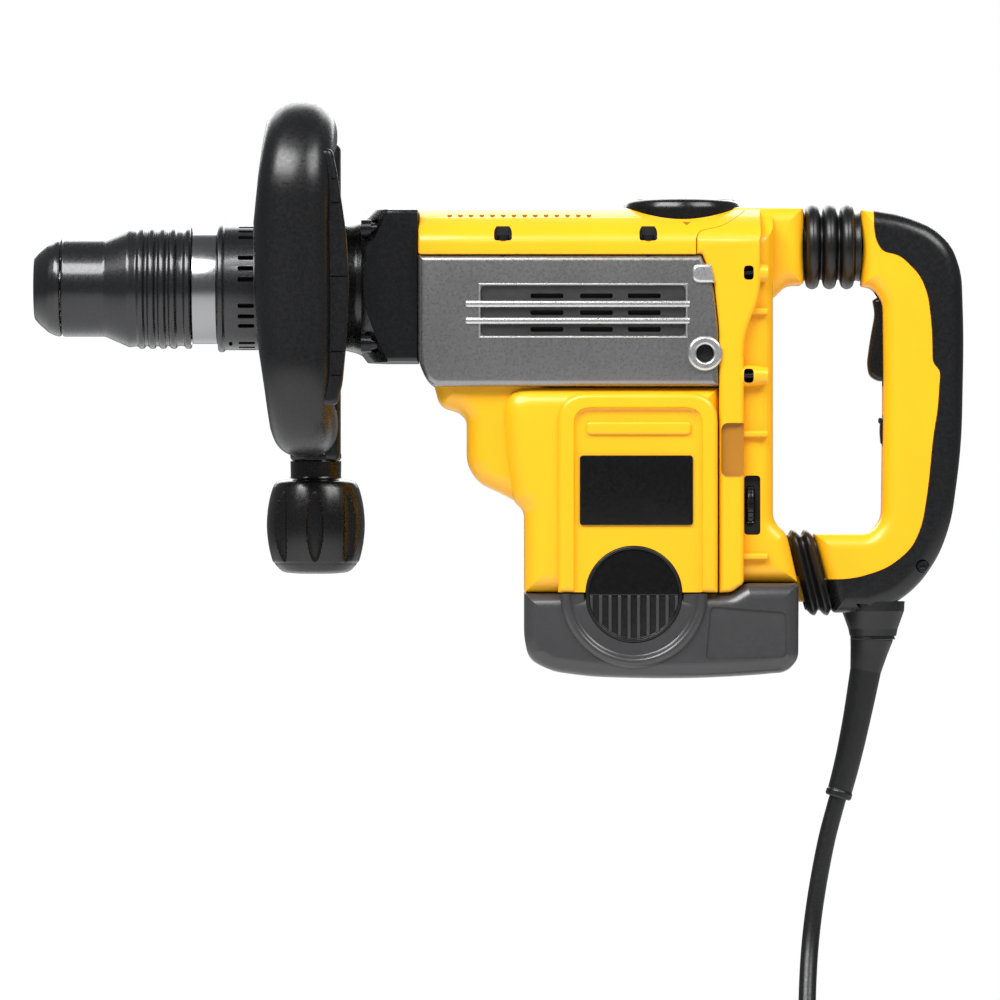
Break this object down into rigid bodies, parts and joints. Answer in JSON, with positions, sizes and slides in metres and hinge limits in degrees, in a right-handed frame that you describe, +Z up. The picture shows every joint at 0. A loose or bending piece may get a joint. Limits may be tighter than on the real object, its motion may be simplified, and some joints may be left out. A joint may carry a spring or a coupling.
{
  "type": "demolition hammer",
  "caption": "Corded demolition hammer with sprung D handle, turning side handle, keyless chuck and hanging mains lead.",
  "frame": {"origin": "middle of the rear handle's vertical grip, on the middle plane", "axes": "+Z up as held with the bore level, -X towards the tool shank, -Y is the side that the side handle stands out to"},
  "size_m": [0.474, 0.1491, 0.7115],
  "materials": {
    "yellow_plastic": "semi-gloss moulded",
    "black_rubber": "soft matt",
    "black_plastic": "satin moulded",
    "black_metal": "satin black coat",
    "grey_alloy": "grey satin coat",
    "steel": "ground",
    "alloy": "turned",
    "copper": "copper wire and bars",
    "brass": "drawn",
    "carbon": "pressed carbon and sealing plastic"
  },
  "bodies": {
    "housing": {"front_housing": "black_metal", "flange_bolts": "steel", "cylinder_tube": "steel", "gearcase": "grey_alloy", "top_cover": "yellow_plastic", "top_cover_screws": "steel", "motor_housing": "yellow_plastic", "name_plates": "black_plastic", "bottom_cover": "black_plastic", "bottom_cover_screws": "steel", "rear_housing": "yellow_plastic", "rear_housing_screws": "steel", "control_module": "black_plastic", "ball_bearings": "steel", "stator_core": "steel", "field_coils": "copper", "brush_holders": "brass", "carbon_brushes": "carbon", "upper_bellows": "black_rubber", "handle_spring": "steel", "lower_boot": "black_rubber", "pivot_pin": "steel"},
    "chuck": {"tool_holder": "steel", "index_collar": "black_plastic", "dust_cap": "black_rubber", "locking_rollers": "steel", "sleeve_spring": "steel"},
    "sleeve": {"locking_sleeve": "black_plastic"},
    "anvil": {"anvil": "steel"},
    "striker": {"striker": "steel"},
    "piston": {"piston": "alloy", "piston_ring": "carbon", "wrist_pin": "steel", "connecting_rod": "steel"},
    "crank": {"crankshaft": "steel", "crank_gear": "steel"},
    "armature": {"armature_shaft": "steel", "armature_core": "steel", "commutator": "copper", "cooling_fan": "black_plastic"},
    "selector": {"selector_dial": "black_plastic"},
    "speed_wheel": {"speed_dial": "black_plastic"},
    "rear_handle": {"handle_frame": "yellow_plastic", "handle_cover": "black_rubber", "handle_screws": "steel", "trigger_switch": "black_plastic", "cord_gland": "black_rubber", "strain_relief": "black_rubber", "power_cord": "black_rubber", "cord_coil": "black_rubber", "cord_tail": "black_rubber", "cord_tie": "black_plastic", "mains_plug": "black_rubber"},
    "trigger": {"trigger": "black_plastic"},
    "lock_button": {"lock_button": "black_plastic"},
    "side_handle": {"side_handle_grip": "black_rubber", "side_handle_frame": "black_plastic", "clamp_band": "steel", "clamp_bolt": "steel"},
    "clamp_knob": {"clamp_knob": "black_plastic"}
  },
  "joints": [
    {"name": "chuck_index", "type": "hinge", "parent": "housing", "child": "chuck", "pos_m": [-0.34, 0, 0.065], "axis": [1, 0, 0], "continuous": true},
    {"name": "sleeve_pull", "type": "slide", "parent": "chuck", "child": "sleeve", "axis": [1, 0, 0], "range_m": [0, 0.011], "stiffness_N_per_m": 900, "springref_m": -0.004, "deforming": ["sleeve_spring"]},
    {"name": "anvil_travel", "type": "slide", "parent": "housing", "child": "anvil", "axis": [-1, 0, 0], "range_m": [0, 0.005]},
    {"name": "piston_stroke", "type": "slide", "parent": "housing", "child": "piston", "axis": [1, 0, 0], "range_m": [0, 0.028]},
    {"name": "striker_travel", "type": "slide", "parent": "housing", "child": "striker", "axis": [1, 0, 0], "range_m": [0, 0.021]},
    {"name": "armature_spin", "type": "hinge", "parent": "housing", "child": "armature", "pos_m": [-0.1479, 0, 0], "axis": [0, 0, 1], "continuous": true},
    {"name": "crank_spin", "type": "hinge", "parent": "housing", "child": "crank", "pos_m": [-0.1864, 0, 0], "axis": [0, 0, 1], "continuous": true},
    {"name": "handle_float", "type": "hinge", "parent": "housing", "child": "rear_handle", "pos_m": [-0.0586, 0, -0.089], "axis": [0, -1, 0], "range_deg": [0, 2.5], "stiffness_Nm_per_rad": 800, "springref_deg": -3.44, "deforming": ["upper_bellows", "handle_spring", "lower_boot"]},
    {"name": "trigger_pull", "type": "hinge", "parent": "rear_handle", "child": "trigger", "pos_m": [-0.0165, 0, 0.0555], "axis": [0, -1, 0], "range_deg": [0, 7], "stiffness_Nm_per_rad": 1.2, "springref_deg": -8.59},
    {"name": "lock_press", "type": "slide", "parent": "rear_handle", "child": "lock_button", "axis": [1, 0, 0], "range_m": [0, 0.0025], "stiffness_N_per_m": 600, "springref_m": -0.002},
    {"name": "mode_select", "type": "hinge", "parent": "housing", "child": "selector", "pos_m": [-0.1232, 0, 0.1], "axis": [0, 0, 1], "range_deg": [0, 180]},
    {"name": "speed_set", "type": "hinge", "parent": "housing", "child": "speed_wheel", "pos_m": [-0.089, -0.0225, -0.046], "axis": [1, 0, 0], "range_deg": [0, 300]},
    {"name": "side_handle_turn", "type": "hinge", "parent": "housing", "child": "side_handle", "pos_m": [-0.3096, 0, 0.065], "axis": [1, 0, 0], "continuous": true},
    {"name": "clamp_turn", "type": "hinge", "parent": "side_handle", "child": "clamp_knob", "pos_m": [-0.3096, 0, -0.05], "axis": [0, 0, 1], "continuous": true}
  ],
  "couplings": [
    {"joint": "crank_spin", "follows": "armature_spin", "ratio": -0.14754},
    {"joint": "striker_travel", "follows": "piston_stroke", "ratio": 0.75}
  ]
}
